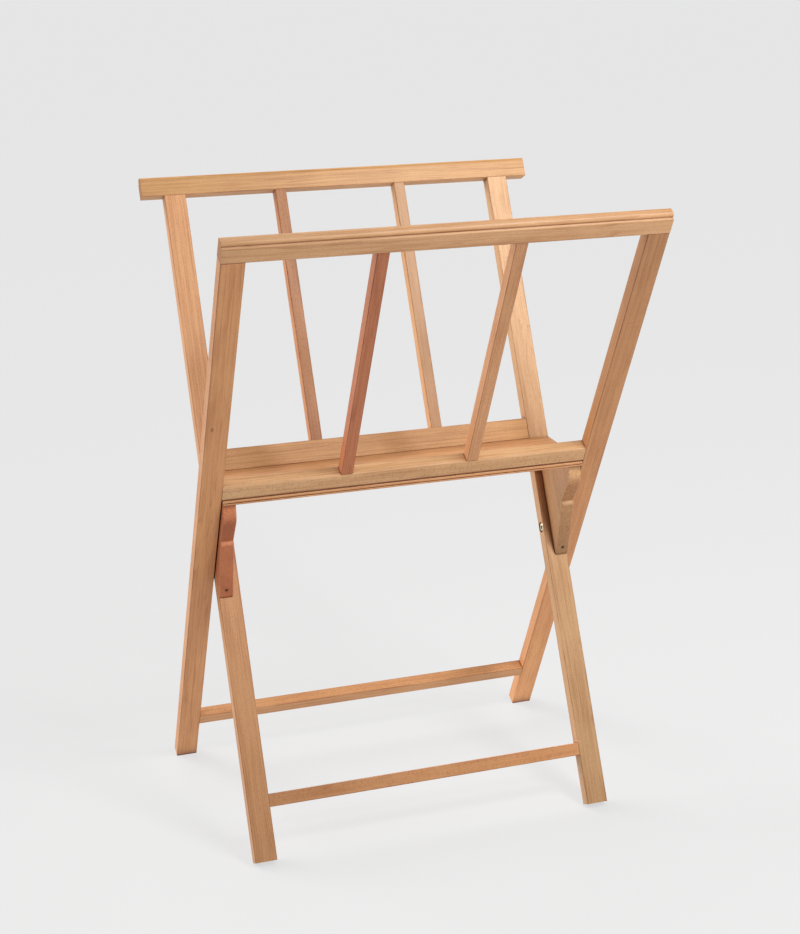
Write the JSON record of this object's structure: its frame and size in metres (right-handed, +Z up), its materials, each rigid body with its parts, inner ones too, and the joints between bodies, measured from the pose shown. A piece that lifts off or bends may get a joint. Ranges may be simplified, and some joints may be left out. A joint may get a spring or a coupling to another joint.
{
  "type": "folding print rack",
  "caption": "Folding wooden X-frame rack: two crossed slatted frames pivot on bolts and open into a V trough over a level tray, holding framed pictures or prints on edge.",
  "frame": {"origin": "on the floor, midway between the rack's ends and under the pivot axis", "axes": "+X along the rails and the pivot axis to the rack's right as seen from the front, +Y to the back, +Z up"},
  "size_m": [0.64, 0.5568, 0.9537],
  "materials": {
    "beech_uprights": "satin oiled beech, grain along each bar",
    "beech_rails": "satin oiled beech with ray flecks",
    "beech_brackets": "satin oiled beech, darker end grain",
    "beech_dowels": "plain beech, hidden in the joints",
    "brass_fittings": "satin brass-plated steel",
    "steel_screws": "bronzed steel"
  },
  "bodies": {
    "inner_frame": {"inner_stile_left": "beech_uprights", "inner_stile_right": "beech_uprights", "inner_top_rail": "beech_rails", "inner_lower_rail": "beech_rails", "inner_slat_left": "beech_uprights", "inner_slat_right": "beech_uprights", "inner_stretcher": "beech_uprights", "inner_dowels": "beech_dowels", "tray_board": "beech_rails", "bracket_left": "beech_brackets", "bracket_right": "beech_brackets", "bracket_dowels": "beech_dowels", "bracket_screws": "steel_screws", "tray_screws": "steel_screws"},
    "outer_frame": {"outer_stile_left": "beech_uprights", "outer_stile_right": "beech_uprights", "outer_top_rail": "beech_rails", "outer_lower_rail": "beech_rails", "outer_slat_left": "beech_uprights", "outer_slat_right": "beech_uprights", "outer_stretcher": "beech_uprights", "outer_dowels": "beech_dowels", "pivot_bolt_left": "brass_fittings", "pivot_bolt_right": "brass_fittings", "pivot_insert_left": "brass_fittings", "pivot_insert_right": "brass_fittings", "pivot_washer_left": "brass_fittings", "pivot_washer_right": "brass_fittings"}
  },
  "joints": [
    {"name": "fold", "type": "hinge", "parent": "inner_frame", "child": "outer_frame", "pos_m": [0, 0, 0.40125], "axis": [-1, 0, 0], "range_deg": [0, 44.5]}
  ]
}
